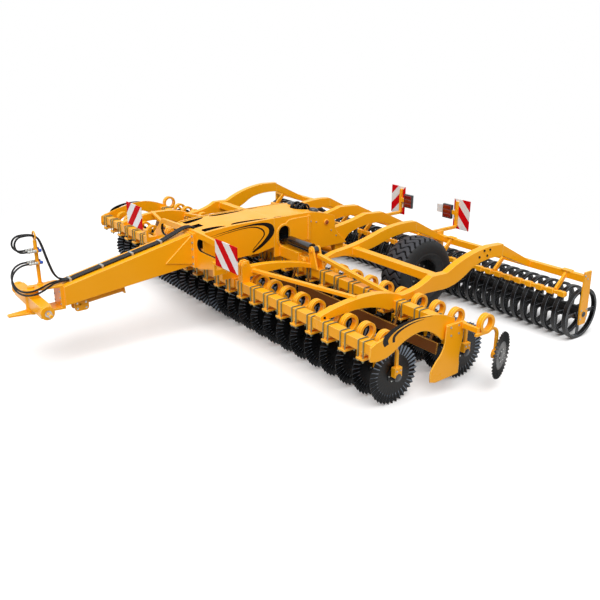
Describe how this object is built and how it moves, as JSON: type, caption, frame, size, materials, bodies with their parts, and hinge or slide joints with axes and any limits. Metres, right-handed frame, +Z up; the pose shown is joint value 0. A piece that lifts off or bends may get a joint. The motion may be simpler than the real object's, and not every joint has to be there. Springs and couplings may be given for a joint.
{
  "type": "trailed disc harrow",
  "caption": "Trailed disc harrow with folding wings, two rows of fluted discs on coil spring arms, lifting transport wheels, a ring roller and a swivelling link hitch.",
  "frame": {"origin": "middle of the machine on the ground", "axes": "+Z up, -Y forward to the hitch, +X to the machine's left"},
  "size_m": [6.733, 6.065, 1.43],
  "materials": {
    "yellow_paint": "gloss enamel",
    "disc_steel": "black, worn at the rim",
    "roller_iron": "black",
    "tyre_rubber": "matte",
    "cylinder_paint": "gloss black",
    "rod_dark": "black, oiled",
    "hose_rubber": "satin",
    "fitting_zinc": "zinc plated",
    "board_sheet": "reflective sheet",
    "lamp_lens": "gloss"
  },
  "bodies": {
    "chassis": {"drawbar": "yellow_paint", "hose_stand": "yellow_paint", "front_frame": "yellow_paint", "tower": "yellow_paint", "tail_frame": "yellow_paint", "centre_toolbars": "yellow_paint", "centre_arms": "yellow_paint", "centre_board": "yellow_paint", "centre_roller_frame": "yellow_paint", "front_signs": "board_sheet", "rear_signs": "board_sheet", "rear_lamps": "lamp_lens", "hose_bundle": "hose_rubber", "hose_clips": "cylinder_paint", "hose_couplers": "fitting_zinc", "hose_near": "hose_rubber", "hose_low": "hose_rubber", "hose_loop": "hose_rubber", "hose_far": "hose_rubber"},
    "hitch": {"hitch_bar": "yellow_paint"},
    "leg": {"parking_leg": "yellow_paint"},
    "lift_axle": {"axle": "yellow_paint"},
    "wheel_left": {"tyre_left": "tyre_rubber", "rim_left": "yellow_paint"},
    "wheel_right": {"tyre_right": "tyre_rubber", "rim_right": "yellow_paint"},
    "wing_left": {"toolbars_left": "yellow_paint", "arms_left": "yellow_paint", "frame_left": "yellow_paint", "end_plates_left": "yellow_paint", "edge_arm_left": "yellow_paint", "board_left": "yellow_paint", "roller_frame_left": "yellow_paint"},
    "wing_right": {"toolbars_right": "yellow_paint", "arms_right": "yellow_paint", "frame_right": "yellow_paint", "end_plates_right": "yellow_paint", "edge_arm_right": "yellow_paint", "board_right": "yellow_paint", "roller_frame_right": "yellow_paint"},
    "front_gang_centre": {"front_discs_centre": "disc_steel"},
    "front_gang_left": {"front_discs_left": "disc_steel"},
    "front_gang_right": {"front_discs_right": "disc_steel"},
    "rear_gang_centre": {"rear_discs_centre": "disc_steel"},
    "rear_gang_left": {"rear_discs_left": "disc_steel"},
    "rear_gang_right": {"rear_discs_right": "disc_steel"},
    "edge_left": {"edge_disc_left": "disc_steel"},
    "edge_right": {"edge_disc_right": "disc_steel"},
    "packer_centre": {"roller_centre": "roller_iron"},
    "packer_left": {"roller_left": "roller_iron"},
    "packer_right": {"roller_right": "roller_iron"},
    "barrel_left": {"barrel_left": "cylinder_paint"},
    "barrel_right": {"barrel_right": "cylinder_paint"},
    "rod_left": {"rod_left": "rod_dark"},
    "rod_right": {"rod_right": "rod_dark"}
  },
  "joints": [
    {"name": "hitch_swivel", "type": "hinge", "parent": "chassis", "child": "hitch", "pos_m": [0, -2.7725, 0.731], "axis": [0, 0, 1], "range_deg": [-30, 30]},
    {"name": "leg_swing", "type": "hinge", "parent": "chassis", "child": "leg", "pos_m": [0, -2.3025, 0.596], "axis": [-1, 0, 0], "range_deg": [0, 96]},
    {"name": "axle_lift", "type": "hinge", "parent": "chassis", "child": "lift_axle", "pos_m": [0, 1.0775, 0.62], "axis": [1, 0, 0], "range_deg": [-25, 20]},
    {"name": "wheel_spin_left", "type": "hinge", "parent": "lift_axle", "child": "wheel_left", "pos_m": [1.16, 1.6275, 0.47], "axis": [1, 0, 0], "continuous": true},
    {"name": "wing_fold_left", "type": "hinge", "parent": "chassis", "child": "wing_left", "pos_m": [0.765, 0, 0.81], "axis": [0, -1, 0], "range_deg": [0, 90]},
    {"name": "barrel_tilt_left", "type": "hinge", "parent": "wing_left", "child": "barrel_left", "pos_m": [0.93, 0.1825, 0.97], "axis": [0, 1, 0], "range_deg": [0, 90]},
    {"name": "rod_slide_left", "type": "slide", "parent": "barrel_left", "child": "rod_left", "axis": [1, 0, 0], "range_m": [0, 0.326]},
    {"name": "front_discs_spin_left", "type": "hinge", "parent": "wing_left", "child": "front_gang_left", "pos_m": [1.875, -0.3725, 0.3], "axis": [1, 0, 0], "continuous": true},
    {"name": "rear_discs_spin_left", "type": "hinge", "parent": "wing_left", "child": "rear_gang_left", "pos_m": [1.875, 0.5775, 0.3], "axis": [1, 0, 0], "continuous": true},
    {"name": "edge_disc_spin_left", "type": "hinge", "parent": "wing_left", "child": "edge_left", "pos_m": [3.221, 0.6325, 0.372], "axis": [0.9397, 0.342, 0], "continuous": true},
    {"name": "roller_spin_left", "type": "hinge", "parent": "wing_left", "child": "packer_left", "pos_m": [1.9, 2.4475, 0.3], "axis": [1, 0, 0], "continuous": true},
    {"name": "wheel_spin_right", "type": "hinge", "parent": "lift_axle", "child": "wheel_right", "pos_m": [-1.16, 1.6275, 0.47], "axis": [1, 0, 0], "continuous": true},
    {"name": "wing_fold_right", "type": "hinge", "parent": "chassis", "child": "wing_right", "pos_m": [-0.765, 0, 0.81], "axis": [0, 1, 0], "range_deg": [0, 90]},
    {"name": "barrel_tilt_right", "type": "hinge", "parent": "wing_right", "child": "barrel_right", "pos_m": [-0.93, 0.1825, 0.97], "axis": [0, -1, 0], "range_deg": [0, 90]},
    {"name": "rod_slide_right", "type": "slide", "parent": "barrel_right", "child": "rod_right", "axis": [-1, 0, 0], "range_m": [0, 0.326]},
    {"name": "front_discs_spin_right", "type": "hinge", "parent": "wing_right", "child": "front_gang_right", "pos_m": [-1.875, -0.3725, 0.3], "axis": [1, 0, 0], "continuous": true},
    {"name": "rear_discs_spin_right", "type": "hinge", "parent": "wing_right", "child": "rear_gang_right", "pos_m": [-1.875, 0.5775, 0.3], "axis": [1, 0, 0], "continuous": true},
    {"name": "edge_disc_spin_right", "type": "hinge", "parent": "wing_right", "child": "edge_right", "pos_m": [-3.221, 0.6325, 0.372], "axis": [0.9397, -0.342, 0], "continuous": true},
    {"name": "roller_spin_right", "type": "hinge", "parent": "wing_right", "child": "packer_right", "pos_m": [-1.9, 2.4475, 0.3], "axis": [1, 0, 0], "continuous": true},
    {"name": "front_discs_spin_centre", "type": "hinge", "parent": "chassis", "child": "front_gang_centre", "pos_m": [0, -0.3725, 0.3], "axis": [1, 0, 0], "continuous": true},
    {"name": "rear_discs_spin_centre", "type": "hinge", "parent": "chassis", "child": "rear_gang_centre", "pos_m": [0, 0.5775, 0.3], "axis": [1, 0, 0], "continuous": true},
    {"name": "roller_spin_centre", "type": "hinge", "parent": "chassis", "child": "packer_centre", "pos_m": [0, 2.4475, 0.3], "axis": [1, 0, 0], "continuous": true}
  ],
  "couplings": [
    {"joint": "barrel_tilt_left", "follows": "wing_fold_left", "ratio": 1},
    {"joint": "rod_slide_left", "follows": "wing_fold_left", "m_per_rad": 0.2069},
    {"joint": "barrel_tilt_right", "follows": "wing_fold_right", "ratio": 1},
    {"joint": "rod_slide_right", "follows": "wing_fold_right", "m_per_rad": 0.2069}
  ]
}
